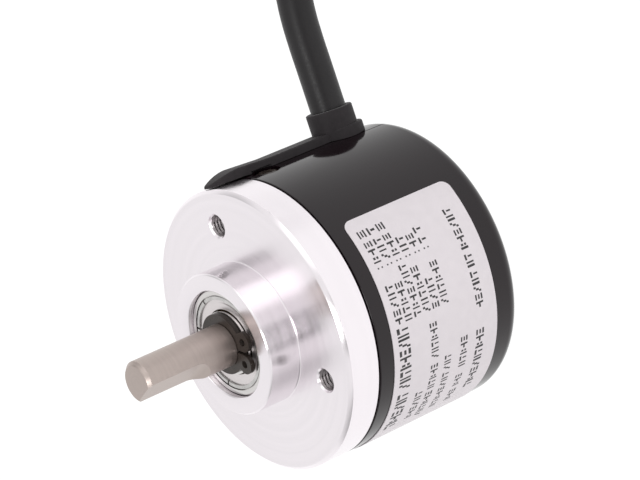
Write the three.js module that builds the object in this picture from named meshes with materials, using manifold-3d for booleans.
// Incremental rotary encoder, 40 mm class, solid 6 mm shaft, with its cable coiled for storage.
// Millimetres, +Z up. The encoder stands on the flat rear wall of its cover, shaft upwards.
// Origin: centre of the rear wall, on the shaft axis. The cable leaves towards -Y.
import * as THREE from 'three';
import { mergeVertices } from 'three/addons/utils/BufferGeometryUtils.js';
import Module from 'manifold-3d';

const wasm = await Module();
wasm.setup();

// ---------------------------------------------------------------- driving dimensions
const BODY_RADIUS = 20;
const BODY_LENGTH = 30.5;
const FLANGE_THICKNESS = 5;
const FLANGE_CHAMFER = 0.5;
const BOSS_CHAMFER = 0.2;
const BORE_CHAMFER = 0.15;
const SPIGOT_RADIUS = 18.4;
const BOSS_RADIUS = 10;
const BOSS_HEIGHT = 5;
const BEARING_TUBE_BOTTOM = 18;
const BEARING_BORE_RADIUS = 7.75;

const COVER_INNER_RADIUS = 18.7;
const COVER_REAR_WALL = 1.5;
const COVER_REAR_ROUNDING = 2;
const GASKET_THICKNESS = 0.3;

const TAP_CIRCLE_RADIUS = 15;
const TAP_RADIUS = 1.25;
const TAP_DEPTH = 5;
const TAP_SINK_RADIUS = 1.75;

const SHAFT_RADIUS = 3;
const SHAFT_TIP = 50;
const SHAFT_TAIL = 12.4;
const SHAFT_CHAMFER = 0.5;
const FLAT_DISTANCE = 1.75;
const FLAT_LENGTH = 8;
const FLAT_RUNOUT = 2.2;
const FLAT_ANGLE = 116;

const BEARING_RADIUS = 7.5;
const BEARING_WIDTH = 5;
const BALL_RADIUS = 1.15;
const BALL_CIRCLE_RADIUS = 5.35;
const RACE_GROOVE_RADIUS = 1.3;
const INNER_LAND_RADIUS = 4.45;
const OUTER_LAND_RADIUS = 6.25;
const SHIELD_SEAT_RADIUS = 6.75;
const SHIELD_INNER_RADIUS = 4.62;
const BALL_COUNT = 7;
const FRONT_BEARING_TOP = 34.75;
const REAR_BEARING_TOP = 23.6;

const CIRCLIP_THICKNESS = 0.65;
const CIRCLIP_GAP_ANGLE = 160;
const CIRCLIP_LUG_ANGLE = 21;
const CIRCLIP_LUG_RADIUS = 1.4;
const CIRCLIP_LUG_CIRCLE = 4.5;

const DISC_RADIUS = 12.6;
const DISC_BOTTOM = 16.8;
const DISC_THICKNESS = 0.6;
const TRACK_RADIUS = 11.6;
const SENSOR_ANGLE = 30;

const BOARD_RADIUS = 15.8;
const BOARD_BOTTOM = 10.8;
const BOARD_THICKNESS = 1.2;
const STANDOFF_CIRCLE_RADIUS = 14.7;
const STANDOFF_RADIUS = 1.4;
const STANDOFF_ANGLES = [-30, 90, 210];

const CABLE_RADIUS = 2.5;
const CABLE_HEIGHT = 7.2;
const CABLE_HOLE_RADIUS = 2.7;
const CABLE_SLOT_WIDTH = 2;
const STRIP_HALF_WIDTH = 2;
const STRIP_TOP_RADIUS = 21.15;
const STRIP_REAR = 4.2;
const STRIP_FRONT = 30.1;
const STRIP_RISE = 0.3;
const STRIP_RISE_START = 20;
const STRIP_LIFT = 0.4;
const NOSE_LENGTH = 4.6;
const NOSE_DROP = 0.95;
const COLLAR_RADIUS = 3.3;
const COLLAR_TOP = 24;
const COLLAR_FOOT_RADIUS = 3.6;
const COLLAR_FOOT_TOP = 21.35;
const COLLAR_FOOT_HEIGHT = 6.75;

const COVER_SCREW_ANGLE = -98.5;
const COVER_SCREW_HEIGHT = 22.1;
const COVER_SCREW_RECESS_RADIUS = 1.9;

const LABEL_BOTTOM = 4.45;
const LABEL_TOP = 22.85;
const LABEL_START_ANGLE = 92;
const LABEL_END_ANGLE = 214;
const LABEL_CORNER = 1.3;

const COIL_CENTRE = new THREE.Vector2(-13.4, -81);
const COIL_MID_RADIUS = 26;
const COIL_HALF_WIDTH = 7.5;
const COIL_BOTTOM = 0;
const COIL_TOP = 20;
const COIL_CORNER = 1.8;
const LEADS_ANGLE = 131;
const LEADS_BED_END = 47;
const TIE_WIDTH = 4;
const CABLE_STEPS = 30;
const CABLE_SIDES = 10;

const BODY_SIDES = 48;
const BEARING_SIDES = 24;

const FLANGE_FRONT = BODY_LENGTH;
const FLANGE_REAR = BODY_LENGTH - FLANGE_THICKNESS;
const BOSS_FRONT = BODY_LENGTH + BOSS_HEIGHT;
const COVER_FRONT = FLANGE_REAR - GASKET_THICKNESS;
const BOARD_TOP = BOARD_BOTTOM + BOARD_THICKNESS;
const DISC_TOP = DISC_BOTTOM + DISC_THICKNESS;
const WEB_REAR = 24;

const radians = THREE.MathUtils.degToRad;

// ---------------------------------------------------------------- materials
function makeMaterial(color, roughness, metalness) {
  return () => new THREE.MeshStandardMaterial({ color, roughness, metalness });
}

const aluminium = makeMaterial('#e4dfe4', 0.35, 1);
const steel = makeMaterial('#a89f98', 0.35, 1);
const brightSteel = makeMaterial('#d5d2d3', 0.2, 1);
const blackSteel = makeMaterial('#2c2a2b', 0.45, 0.6);
const glossyBlack = makeMaterial('#141315', 0.12, 0);
const blackRubber = makeMaterial('#242426', 0.65, 0);
const silverFilm = makeMaterial('#d8d3d8', 0.4, 0.2);
const brass = makeMaterial('#b99a55', 0.35, 1);
const glass = makeMaterial('#c9d6d2', 0.05, 0);
const boardGreen = makeMaterial('#1f5a3a', 0.5, 0);
const moulding = makeMaterial('#2f2f33', 0.5, 0);
const cagePlastic = makeMaterial('#b9a074', 0.5, 0);
const whitePlastic = makeMaterial('#dedad0', 0.5, 0);
const clearLens = makeMaterial('#dfe6f2', 0.1, 0);

// ---------------------------------------------------------------- solids
function toSolid(geometry) {
  const bare = geometry.index ? geometry.clone() : mergeVertices(geometry);
  bare.deleteAttribute('normal');
  bare.deleteAttribute('uv');
  const merged = mergeVertices(bare, 1e-5);
  const index = merged.index.array;
  const kept = [];
  for (let i = 0; i < index.length; i += 3) {
    const [a, b, c] = [index[i], index[i + 1], index[i + 2]];
    if (a !== b && b !== c && c !== a) kept.push(a, b, c);
  }
  return new wasm.Manifold(new wasm.Mesh({
    numProp: 3,
    vertProperties: new Float32Array(merged.attributes.position.array),
    triVerts: new Uint32Array(kept),
  }));
}

function toGeometry(solid) {
  const mesh = solid.getMesh();
  const geometry = new THREE.BufferGeometry();
  geometry.setAttribute('position', new THREE.BufferAttribute(mesh.vertProperties, 3));
  geometry.setIndex(new THREE.BufferAttribute(mesh.triVerts, 1));
  geometry.computeVertexNormals();
  return geometry;
}

// A closed outline of [radius, height] pairs, anticlockwise with radius to the right, turned about Z.
function revolve(outline, sides) {
  const points = [...outline, outline[0]].map(([radius, height]) => new THREE.Vector2(radius, height));
  return toSolid(new THREE.LatheGeometry(points, sides).rotateX(Math.PI / 2));
}

function ring(innerRadius, outerRadius, bottom, top, sides) {
  return revolve([
    [innerRadius, bottom], [outerRadius, bottom], [outerRadius, top], [innerRadius, top],
  ], sides);
}

function cylinder(radius, bottom, top, sides) {
  const geometry = new THREE.CylinderGeometry(radius, radius, top - bottom, sides);
  return toSolid(geometry.rotateX(Math.PI / 2).translate(0, 0, (bottom + top) / 2));
}

// A cylinder lying along +X from near to far, lifted to a height and turned about Z.
function radialCylinder(radius, near, far, angle, height, sides) {
  const geometry = new THREE.CylinderGeometry(radius, radius, far - near, sides);
  geometry.rotateZ(Math.PI / 2).translate((near + far) / 2, 0, height).rotateZ(radians(angle));
  return toSolid(geometry);
}

function box(width, depth, height, x, y, bottom) {
  return toSolid(new THREE.BoxGeometry(width, depth, height).translate(x, y, bottom + height / 2));
}

function turnedBox(width, depth, height, radius, angle, bottom) {
  const geometry = new THREE.BoxGeometry(width, depth, height);
  geometry.translate(radius, 0, bottom + height / 2).rotateZ(radians(angle));
  return toSolid(geometry);
}

function polar(radius, angle) {
  return [radius * Math.cos(radians(angle)), radius * Math.sin(radians(angle))];
}

// Outline points of an arc about a centre, in the plane of the outline.
function arcPoints(centre, arcRadius, fromAngle, toAngle, steps) {
  const points = [];
  for (let i = 0; i <= steps; i += 1) {
    const angle = radians(fromAngle + ((toAngle - fromAngle) * i) / steps);
    points.push([centre[0] + arcRadius * Math.cos(angle), centre[1] + arcRadius * Math.sin(angle)]);
  }
  return points;
}

const encoder = new THREE.Group();

function add(name, solid, material) {
  const mesh = new THREE.Mesh(toGeometry(solid), material());
  mesh.name = name;
  encoder.add(mesh);
}

// ---------------------------------------------------------------- flange body and cover
function makeFlangeBody() {
  let body = revolve([
    [BEARING_BORE_RADIUS, BEARING_TUBE_BOTTOM],
    [BOSS_RADIUS, BEARING_TUBE_BOTTOM],
    [BOSS_RADIUS, WEB_REAR],
    [16.6, WEB_REAR],
    [16.6, 17.5],
    [SPIGOT_RADIUS, 17.5],
    [SPIGOT_RADIUS, FLANGE_REAR],
    [BODY_RADIUS, FLANGE_REAR],
    [BODY_RADIUS, FLANGE_FRONT - FLANGE_CHAMFER],
    [BODY_RADIUS - FLANGE_CHAMFER, FLANGE_FRONT],
    [BOSS_RADIUS, FLANGE_FRONT],
    [BOSS_RADIUS, BOSS_FRONT - BOSS_CHAMFER],
    [BOSS_RADIUS - BOSS_CHAMFER, BOSS_FRONT],
    [BEARING_BORE_RADIUS + BORE_CHAMFER, BOSS_FRONT],
    [BEARING_BORE_RADIUS, BOSS_FRONT - BORE_CHAMFER],
  ], BODY_SIDES);
  for (const angle of [-90, 30, 150]) {
    const [x, y] = polar(TAP_CIRCLE_RADIUS, angle);
    const sinkDepth = TAP_SINK_RADIUS - TAP_RADIUS;
    const hole = revolve([
      [0, FLANGE_FRONT - TAP_DEPTH],
      [TAP_RADIUS, FLANGE_FRONT - TAP_DEPTH],
      [TAP_RADIUS, FLANGE_FRONT - sinkDepth],
      [TAP_SINK_RADIUS + 0.2, FLANGE_FRONT + 0.2],
      [0, FLANGE_FRONT + 0.2],
    ], 16).translate([x, y, 0]);
    body = body.subtract(hole);
  }
  for (const angle of [COVER_SCREW_ANGLE, COVER_SCREW_ANGLE + 180]) {
    body = body.subtract(radialCylinder(0.95, 14, 20, angle, COVER_SCREW_HEIGHT, 10));
  }
  return body;
}

function makeCover() {
  const roundingCentre = [BODY_RADIUS - COVER_REAR_ROUNDING, COVER_REAR_ROUNDING];
  let cover = revolve([
    [0, 0],
    ...arcPoints(roundingCentre, COVER_REAR_ROUNDING, -90, 0, 4),
    [BODY_RADIUS, COVER_FRONT],
    [COVER_INNER_RADIUS, COVER_FRONT],
    [COVER_INNER_RADIUS, COVER_REAR_WALL + 1],
    [COVER_INNER_RADIUS - 1, COVER_REAR_WALL],
    [0, COVER_REAR_WALL],
  ], BODY_SIDES);
  const slotLength = COVER_FRONT + 1 - CABLE_HEIGHT;
  cover = cover.subtract(radialCylinder(CABLE_HOLE_RADIUS, 16, 22, -90, CABLE_HEIGHT, 20));
  cover = cover.subtract(box(CABLE_SLOT_WIDTH, 6, slotLength, 0, -19, CABLE_HEIGHT));
  for (const angle of [COVER_SCREW_ANGLE, COVER_SCREW_ANGLE + 180]) {
    const recess = radialCylinder(COVER_SCREW_RECESS_RADIUS, 19.1, 21, angle, COVER_SCREW_HEIGHT, 20);
    cover = cover.subtract(recess);
    cover = cover.subtract(radialCylinder(1, 17, 20, angle, COVER_SCREW_HEIGHT, 12));
  }
  return cover;
}

function makeCoverScrew(angle) {
  const head = radialCylinder(1.7, 19.15, 19.8, angle, COVER_SCREW_HEIGHT, 16);
  const shank = radialCylinder(0.8, 16.2, 19.4, angle, COVER_SCREW_HEIGHT, 10);
  let screw = head.add(shank);
  for (const [width, height] of [[0.4, 2], [2, 0.4]]) {
    const slot = turnedBox(0.8, width, height, 19.75, angle, COVER_SCREW_HEIGHT - height / 2);
    screw = screw.subtract(slot);
  }
  return screw;
}

// A rounded rectangle of thin film bent round the cover: a closed shell of angular columns.
function makeLabel() {
  const columns = 40;
  const radii = [BODY_RADIUS + 0.03, BODY_RADIUS + 0.13];
  const arcLength = radians(LABEL_END_ANGLE - LABEL_START_ANGLE) * BODY_RADIUS;
  const positions = [];
  for (let i = 0; i <= columns; i += 1) {
    const cornerSteps = Math.min(i, columns - i, 4) / 4;
    const along = i <= columns / 2 ? 0 : arcLength;
    const inward = LABEL_CORNER * (1 - Math.cos((cornerSteps * Math.PI) / 2));
    const middle = (arcLength - 2 * LABEL_CORNER) * ((i - 4) / (columns - 8)) + LABEL_CORNER;
    const inCorner = cornerSteps < 1;
    const distance = inCorner ? Math.abs(along - inward) : middle;
    const inset = LABEL_CORNER * (1 - Math.sin((cornerSteps * Math.PI) / 2));
    const angle = radians(LABEL_START_ANGLE) + distance / BODY_RADIUS;
    for (const radius of radii) {
      for (const height of [LABEL_BOTTOM + inset, LABEL_TOP - inset]) {
        positions.push(radius * Math.cos(angle), radius * Math.sin(angle), height);
      }
    }
  }
  const faces = [];
  function quad(a, b, c, d) {
    faces.push(a, b, c, a, c, d);
  }
  for (let i = 0; i < columns; i += 1) {
    const [near, far] = [4 * i, 4 * (i + 1)];
    quad(near + 2, far + 2, far + 3, near + 3);
    quad(near, near + 1, far + 1, far);
    quad(near + 1, near + 3, far + 3, far + 1);
    quad(near, far, far + 2, near + 2);
  }
  const last = 4 * columns;
  quad(0, 2, 3, 1);
  quad(last, last + 1, last + 3, last + 2);
  const geometry = new THREE.BufferGeometry();
  geometry.setAttribute('position', new THREE.Float32BufferAttribute(positions, 3));
  geometry.setIndex(faces);
  return toSolid(geometry);
}

add('flange_body', makeFlangeBody(), aluminium);
add('cover', makeCover(), glossyBlack);
add('cover_gasket', ring(18.8, 19.6, COVER_FRONT + 0.02, FLANGE_REAR - 0.02, BODY_SIDES), blackRubber);
add('blank_label', makeLabel(), silverFilm);
add('cover_screw_1', makeCoverScrew(COVER_SCREW_ANGLE), blackSteel);
add('cover_screw_2', makeCoverScrew(COVER_SCREW_ANGLE + 180), blackSteel);

// ---------------------------------------------------------------- ball bearings
function makeOuterRing(top, shielded) {
  const centre = [BALL_CIRCLE_RADIUS, top - BEARING_WIDTH / 2];
  const halfAngle = THREE.MathUtils.radToDeg(
    Math.acos((OUTER_LAND_RADIUS - BALL_CIRCLE_RADIUS) / RACE_GROOVE_RADIUS));
  const groove = arcPoints(centre, RACE_GROOVE_RADIUS, halfAngle, -halfAngle, 4);
  const seat = shielded ? [[SHIELD_SEAT_RADIUS, top], [SHIELD_SEAT_RADIUS, top - 0.55]] : [];
  return revolve([
    [BEARING_RADIUS, top - BEARING_WIDTH],
    [BEARING_RADIUS, top],
    ...(shielded ? seat : [[OUTER_LAND_RADIUS, top]]),
    ...(shielded ? [[OUTER_LAND_RADIUS, top - 0.55]] : []),
    ...groove,
    [OUTER_LAND_RADIUS, top - BEARING_WIDTH],
  ], BEARING_SIDES);
}

function makeInnerRing(top) {
  const centre = [BALL_CIRCLE_RADIUS, top - BEARING_WIDTH / 2];
  const halfAngle = THREE.MathUtils.radToDeg(
    Math.acos((BALL_CIRCLE_RADIUS - INNER_LAND_RADIUS) / RACE_GROOVE_RADIUS));
  return revolve([
    [SHAFT_RADIUS + 0.06, top - BEARING_WIDTH],
    [INNER_LAND_RADIUS, top - BEARING_WIDTH],
    ...arcPoints(centre, RACE_GROOVE_RADIUS, 180 + halfAngle, 180 - halfAngle, 4),
    [INNER_LAND_RADIUS, top],
    [SHAFT_RADIUS + 0.06, top],
  ], BEARING_SIDES);
}

function ballPlace(number) {
  return polar(BALL_CIRCLE_RADIUS, (360 * number) / BALL_COUNT);
}

function ballSolid(radius, number, height) {
  const [x, y] = ballPlace(number);
  return toSolid(new THREE.SphereGeometry(radius, 8, 6)).translate([x, y, height]);
}

// A crown cage: a flat ring above the ball centres with a round pocket for each ball.
function makeCage(top) {
  const height = top - BEARING_WIDTH / 2;
  let cage = ring(4.85, 5.85, height + 0.3, height + 1.6, BEARING_SIDES);
  for (let number = 0; number < BALL_COUNT; number += 1) {
    cage = cage.subtract(ballSolid(BALL_RADIUS + 0.2, number, height));
  }
  return cage;
}

function addBearing(name, top, shielded) {
  add(`${name}_outer_ring`, makeOuterRing(top, shielded), brightSteel);
  add(`${name}_inner_ring`, makeInnerRing(top), brightSteel);
  add(`${name}_cage`, makeCage(top), cagePlastic);
  for (let number = 0; number < BALL_COUNT; number += 1) {
    add(`${name}_ball_${number + 1}`, ballSolid(BALL_RADIUS, number, top - BEARING_WIDTH / 2), brightSteel);
  }
}

function makeSnapRing() {
  const wire = ring(6.12, 6.62, FRONT_BEARING_TOP - 0.28, FRONT_BEARING_TOP - 0.04, BEARING_SIDES);
  return wire.subtract(turnedBox(1.5, 0.35, 1, 6.4, -67.5, FRONT_BEARING_TOP - 0.7));
}

addBearing('front_bearing', FRONT_BEARING_TOP, true);
addBearing('rear_bearing', REAR_BEARING_TOP, false);
add('front_shield', ring(SHIELD_INNER_RADIUS, 6.65, FRONT_BEARING_TOP - 0.52, FRONT_BEARING_TOP - 0.32,
  BEARING_SIDES), brightSteel);
add('shield_snap_ring', makeSnapRing(), steel);
add('spacer_sleeve', ring(6.5, 7.6, REAR_BEARING_TOP + 0.9, FRONT_BEARING_TOP - BEARING_WIDTH - 0.05,
  BEARING_SIDES), aluminium);
add('wave_washer', ring(6.4, 7.5, REAR_BEARING_TOP + 0.1, REAR_BEARING_TOP + 0.8, BEARING_SIDES), steel);

// ---------------------------------------------------------------- rotor
function makeShaft() {
  const grooveBottom = FRONT_BEARING_TOP + 0.02;
  const grooveTop = grooveBottom + CIRCLIP_THICKNESS + 0.1;
  const shoulderBottom = REAR_BEARING_TOP + 0.05;
  const shoulderTop = FRONT_BEARING_TOP - BEARING_WIDTH - 0.05;
  const shaft = revolve([
    [0, SHAFT_TAIL],
    [SHAFT_RADIUS - 0.3, SHAFT_TAIL],
    [SHAFT_RADIUS, SHAFT_TAIL + 0.3],
    [SHAFT_RADIUS, shoulderBottom],
    [4, shoulderBottom],
    [4, shoulderTop],
    [SHAFT_RADIUS, shoulderTop],
    [SHAFT_RADIUS, grooveBottom],
    [SHAFT_RADIUS - 0.15, grooveBottom],
    [SHAFT_RADIUS - 0.15, grooveTop],
    [SHAFT_RADIUS, grooveTop],
    [SHAFT_RADIUS, SHAFT_TIP - SHAFT_CHAMFER],
    [SHAFT_RADIUS - SHAFT_CHAMFER, SHAFT_TIP],
    [0, SHAFT_TIP],
  ], BEARING_SIDES);
  return shaft.subtract(makeFlatCutter());
}

// The cutter's side view: level along the flat, then rising in an arc at the run-out.
function makeFlatCutter() {
  const flatEnd = SHAFT_TIP - FLAT_LENGTH;
  const rise = SHAFT_RADIUS + 0.2 - FLAT_DISTANCE;
  const arcRadius = (FLAT_RUNOUT ** 2 + rise ** 2) / (2 * rise);
  const outline = new THREE.Shape();
  outline.moveTo(FLAT_DISTANCE, SHAFT_TIP + 1);
  outline.lineTo(FLAT_DISTANCE, flatEnd);
  for (const step of [0.25, 0.5, 0.75, 1]) {
    const along = FLAT_RUNOUT * step;
    const climb = arcRadius - Math.sqrt(arcRadius ** 2 - along ** 2);
    outline.lineTo(FLAT_DISTANCE + climb, flatEnd - along);
  }
  outline.lineTo(SHAFT_RADIUS + 2, flatEnd - FLAT_RUNOUT);
  outline.lineTo(SHAFT_RADIUS + 2, SHAFT_TIP + 1);
  const geometry = new THREE.ExtrudeGeometry(outline, { depth: 8, bevelEnabled: false });
  geometry.rotateX(Math.PI / 2).translate(0, 4, 0).rotateZ(radians(FLAT_ANGLE));
  return toSolid(geometry);
}

function makeCirclip() {
  const bottom = FRONT_BEARING_TOP + 0.06;
  const top = bottom + CIRCLIP_THICKNESS;
  let clip = cylinder(4.25, bottom, top, BEARING_SIDES).translate([
    ...polar(0.25, CIRCLIP_GAP_ANGLE + 180), 0]);
  for (const side of [-CIRCLIP_LUG_ANGLE, CIRCLIP_LUG_ANGLE]) {
    const [x, y] = polar(CIRCLIP_LUG_CIRCLE, CIRCLIP_GAP_ANGLE + side);
    clip = clip.add(cylinder(CIRCLIP_LUG_RADIUS, bottom, top, 16).translate([x, y, 0]));
    clip = clip.subtract(cylinder(0.55, bottom - 1, top + 1, 10).translate([x, y, 0]));
  }
  clip = clip.subtract(cylinder(SHAFT_RADIUS - 0.1, bottom - 1, top + 1, BEARING_SIDES));
  return clip.subtract(turnedBox(6, 0.45, 3, 5, CIRCLIP_GAP_ANGLE, bottom - 1));
}

function makeDiscHub() {
  const hub = revolve([
    [SHAFT_RADIUS + 0.05, 13.2],
    [5, 13.2],
    [5, 15.4],
    [7.2, 15.8],
    [7.2, DISC_BOTTOM - 0.05],
    [5.2, DISC_BOTTOM - 0.05],
    [5.2, DISC_TOP + 0.9],
    [SHAFT_RADIUS + 0.05, DISC_TOP + 0.9],
  ], BEARING_SIDES);
  return hub.subtract(radialCylinder(0.95, 2, 6, 45, 14.3, 10));
}

add('shaft', makeShaft(), steel);
add('circlip', makeCirclip(), blackSteel);
add('disc_hub', makeDiscHub(), brass);
add('code_disc', ring(5.3, DISC_RADIUS, DISC_BOTTOM, DISC_TOP, BODY_SIDES), glass);
add('disc_clamp_ring', ring(5.3, 7.2, DISC_TOP + 0.05, DISC_TOP + 0.6, BEARING_SIDES), brass);
add('hub_set_screw', radialCylinder(0.8, 3.1, 4.7, 45, 14.3, 10), blackSteel);

// ---------------------------------------------------------------- optics and electronics
function makeStandoff(angle) {
  const [x, y] = polar(STANDOFF_CIRCLE_RADIUS, angle);
  const post = cylinder(STANDOFF_RADIUS, BOARD_TOP + 0.05, WEB_REAR - 0.05, 10);
  return post.subtract(cylinder(0.95, BOARD_TOP - 1, BOARD_TOP + 5, 8)).translate([x, y, 0]);
}

function makeBoardScrew(angle) {
  const [x, y] = polar(STANDOFF_CIRCLE_RADIUS, angle);
  const head = cylinder(1.7, BOARD_BOTTOM - 1.2, BOARD_BOTTOM - 0.05, 12);
  return head.add(cylinder(0.8, BOARD_BOTTOM - 0.5, BOARD_TOP + 4, 8)).translate([x, y, 0]);
}

function makeBoard() {
  let board = cylinder(BOARD_RADIUS + 0.6, BOARD_BOTTOM, BOARD_TOP, 36);
  for (const angle of STANDOFF_ANGLES) {
    const [x, y] = polar(STANDOFF_CIRCLE_RADIUS, angle);
    board = board.subtract(cylinder(1, BOARD_BOTTOM - 1, BOARD_TOP + 1, 8).translate([x, y, 0]));
  }
  return board;
}

function makeLedHolder() {
  const holder = turnedBox(4.4, 6, 4.8, 12.8, SENSOR_ANGLE, WEB_REAR - 4.85);
  const [x, y] = polar(TRACK_RADIUS + 1, SENSOR_ANGLE);
  return holder.subtract(cylinder(1.4, 15, 22.2, 12).translate([x, y, 0]));
}

function makeLed() {
  const [x, y] = polar(TRACK_RADIUS + 1, SENSOR_ANGLE);
  const lens = toSolid(new THREE.SphereGeometry(1.2, 12, 8)).translate([0, 0, 19.3]);
  return lens.add(cylinder(1.2, 19.3, 22, 12)).translate([x, y, 0]);
}

STANDOFF_ANGLES.forEach((angle, i) => {
  add(`standoff_${i + 1}`, makeStandoff(angle), brass);
  add(`board_screw_${i + 1}`, makeBoardScrew(angle), brightSteel);
});
add('circuit_board', makeBoard(), boardGreen);
add('led_holder', makeLedHolder(), moulding);
add('led', makeLed(), clearLens);
add('photo_sensor', turnedBox(4, 5, 2.6, TRACK_RADIUS, SENSOR_ANGLE, BOARD_TOP + 0.05), moulding);
add('reticle', turnedBox(4, 6, 0.6, TRACK_RADIUS, SENSOR_ANGLE, BOARD_TOP + 2.7), glass);
add('signal_chip', box(6, 6, 1.1, 5, 6, BOARD_BOTTOM - 1.15), moulding);
add('capacitor', cylinder(2, BOARD_BOTTOM - 5.45, BOARD_BOTTOM - 0.05, 14).translate([-7, 5, 0]), aluminium);
add('cable_connector', box(9, 4, 3.4, 0, -5, BOARD_BOTTOM - 3.45), whitePlastic);

// ---------------------------------------------------------------- cable and its grommet
function makeCableClamp() {
  const block = box(8.4, 2.6, 6.4, 0, -15.1, 4);
  return block.subtract(radialCylinder(CABLE_HOLE_RADIUS, 10, 20, -90, CABLE_HEIGHT, 16));
}

// One moulding: a strip along the slot of the cover, with a footed collar round the cable. In front of
// the cover the strip rises a little and ends in a sloping nose, clear of the flange.
function makeGrommet() {
  const side = new THREE.Shape();
  side.moveTo(19, STRIP_REAR);
  side.lineTo(STRIP_TOP_RADIUS, STRIP_REAR);
  side.lineTo(STRIP_TOP_RADIUS, STRIP_RISE_START);
  for (const share of [0, 0.25, 0.5, 0.75, 1]) {
    const top = STRIP_TOP_RADIUS + STRIP_RISE - NOSE_DROP * share ** 1.7;
    side.lineTo(top, STRIP_FRONT - NOSE_LENGTH * (1 - share));
  }
  side.lineTo(19, STRIP_FRONT);
  const geometry = new THREE.ExtrudeGeometry(side, { depth: 2 * STRIP_HALF_WIDTH, bevelEnabled: false });
  geometry.rotateX(Math.PI / 2).translate(0, STRIP_HALF_WIDTH, 0).rotateZ(-Math.PI / 2);
  let grommet = toSolid(geometry);
  const foot = radialCylinder(COLLAR_FOOT_RADIUS, 18, COLLAR_FOOT_TOP, -90, COLLAR_FOOT_HEIGHT, 24);
  grommet = grommet.add(foot);
  grommet = grommet.add(radialCylinder(COLLAR_RADIUS, 20.4, COLLAR_TOP, -90, CABLE_HEIGHT, 24));
  const bedded = BODY_RADIUS + 0.05;
  const lifted = bedded + STRIP_LIFT;
  const tipUnderside = bedded + STRIP_LIFT / 2;
  grommet = grommet.subtract(revolve([
    [0, 0],
    [bedded, 0],
    [bedded, COVER_FRONT - 1.7],
    [lifted, COVER_FRONT],
    [lifted, STRIP_FRONT - NOSE_LENGTH / 2],
    [tipUnderside, STRIP_FRONT],
    [tipUnderside, BOSS_FRONT],
    [0, BOSS_FRONT],
  ], BODY_SIDES * 2));
  const screwWay = COVER_SCREW_RECESS_RADIUS + 0.1;
  const screwWayTop = BODY_RADIUS + STRIP_LIFT;
  grommet = grommet.subtract(
    radialCylinder(screwWay, 18, screwWayTop, COVER_SCREW_ANGLE, COVER_SCREW_HEIGHT, 24));
  return grommet.subtract(radialCylinder(CABLE_HOLE_RADIUS, 18, 26, -90, CABLE_HEIGHT, 20));
}

// Hand-placed route: inside the clamp, straight out past the collar, then down on to the floor,
// sideways, and along the outer turn of the coil.
const CABLE_ROUTE = [
  [0, -12.5, 7.2], [0, -16, 7.2], [0, -20, 7.2], [0, -24, 7.2], [0, -27, 7.2], [0, -30, 7.2],
  [0, -34, 7.2], [0, -37.5, 7.05], [0, -40.7, 6.65], [0.52, -45.7, 5.65], [2.07, -50.5, 4.42],
  [4.58, -54.8, 3.31], [7.69, -58.3, 2.66], [9.64, -60.26, 2.52], [11.68, -62.78, 2.5],
].map(([x, y, z]) => new THREE.Vector3(x, y, z));

function tube(route, radius, steps, sides) {
  const curve = new THREE.CatmullRomCurve3(route, false, 'centripetal');
  const section = new THREE.Shape();
  for (let i = 0; i < sides; i += 1) {
    const angle = (2 * Math.PI * (i + 0.5)) / sides;
    const [u, v] = [radius * Math.cos(angle), radius * Math.sin(angle)];
    if (i === 0) section.moveTo(u, v);
    else section.lineTo(u, v);
  }
  return toSolid(new THREE.ExtrudeGeometry(section, { steps, extrudePath: curve, bevelEnabled: false }));
}

// Four layers of turns. The outer turn of the top layer stops short, and the bare wires lie in its place.
function makeCoil() {
  const [inner, outer] = [COIL_MID_RADIUS - COIL_HALF_WIDTH, COIL_MID_RADIUS + COIL_HALF_WIDTH];
  const coil = revolve([
    [inner + COIL_CORNER, COIL_BOTTOM], [outer - COIL_CORNER, COIL_BOTTOM],
    [outer, COIL_BOTTOM + COIL_CORNER], [outer, COIL_TOP - COIL_CORNER],
    [outer - COIL_CORNER, COIL_TOP], [inner + COIL_CORNER, COIL_TOP],
    [inner, COIL_TOP - COIL_CORNER], [inner, COIL_BOTTOM + COIL_CORNER],
  ], 30).translate([COIL_CENTRE.x, COIL_CENTRE.y, 0]);
  const strapWay = box(TIE_WIDTH + 1, 30, 0.7, COIL_CENTRE.x, COIL_CENTRE.y - COIL_MID_RADIUS, -0.1);
  const cableWay = tube(CABLE_ROUTE, CABLE_RADIUS + 0.35, CABLE_STEPS, CABLE_SIDES);
  return coil.subtract(makeLeadsBed()).subtract(cableWay).subtract(strapWay);
}

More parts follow.
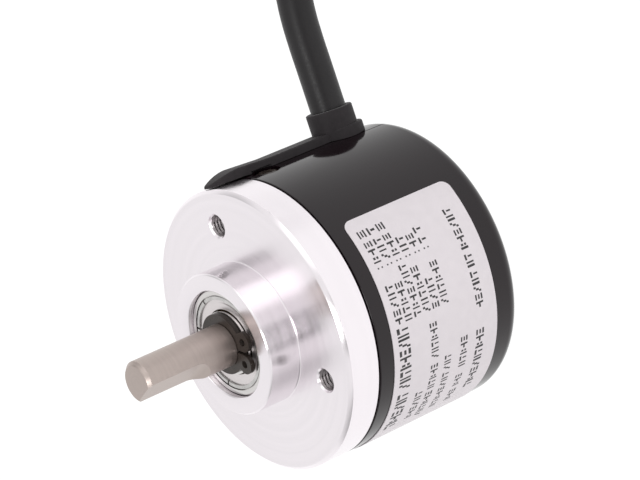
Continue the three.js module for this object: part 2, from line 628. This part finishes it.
// The space that the missing part of the top outer turn leaves: a sector of the ring, one cable deep.
function makeLeadsBed() {
  const depth = 2 * CABLE_RADIUS;
  const span = [LEADS_BED_END, LEADS_ANGLE + 1];
  const wall = COIL_MID_RADIUS + COIL_HALF_WIDTH - depth;
  const centre = [COIL_CENTRE.x, COIL_CENTRE.y];
  const outline = new THREE.Shape([
    ...arcPoints(centre, wall + depth + 3, span[0], span[1], 8),
    ...arcPoints(centre, wall, span[1], span[0], 8),
  ].map(([x, y]) => new THREE.Vector2(x, y)));
  const geometry = new THREE.ExtrudeGeometry(outline, { depth: depth + 1, bevelEnabled: false });
  return toSolid(geometry.translate(0, 0, COIL_TOP - depth));
}

// A flat strap round the bundle of turns, on the far side of the coil, with its head on top.
function makeCoilTie() {
  const [x, y] = [COIL_CENTRE.x, COIL_CENTRE.y - COIL_MID_RADIUS];
  const depth = 2 * COIL_HALF_WIDTH + 0.9;
  const inside = box(TIE_WIDTH + 2, depth, COIL_TOP - 0.35, x, y, 0.45);
  const strap = box(TIE_WIDTH, depth + 1, COIL_TOP + 0.55, x, y, 0.05).subtract(inside);
  return strap.add(box(TIE_WIDTH + 1.4, 3, 2.2, x, y, COIL_TOP + 0.3));
}

// A point of the coil's outer track: degrees round the coil's centre, millimetres outward, height.
function outerTrack(angle, outward, height) {
  const [x, y] = polar(COIL_MID_RADIUS + 2 * CABLE_RADIUS + outward, angle);
  return new THREE.Vector3(COIL_CENTRE.x + x, COIL_CENTRE.y + y, height);
}

// Five bare wires side by side, joined in a sleeve at the end of the jacket.
function makeLeadWires() {
  const bed = COIL_TOP - 2 * CABLE_RADIUS;
  const sleeve = [0, 5, 10].map((turn) => outerTrack(LEADS_ANGLE - turn, 0.35, bed + 2.6));
  let wires = tube(sleeve, 2.2, 4, 8);
  for (const place of [-2, -1, 0, 1, 2]) {
    const route = [6, 12, 24, 38].map((turn) => {
      const fanned = Math.min((turn - 6) / 10, 1);
      return outerTrack(LEADS_ANGLE - turn, 0.35 + place * 0.9 * fanned, bed + 2.6 - 1.8 * fanned);
    });
    wires = wires.add(tube(route, 0.5, 8, 6));
  }
  return wires;
}

add('cable_clamp', makeCableClamp(), whitePlastic);
add('cable_grommet', makeGrommet(), blackRubber);
add('cable', tube(CABLE_ROUTE, CABLE_RADIUS, CABLE_STEPS, CABLE_SIDES), blackRubber);
add('cable_coil', makeCoil(), blackRubber);
add('coil_tie', makeCoilTie(), moulding);
add('lead_wires', makeLeadWires(), whitePlastic);

export default encoder;
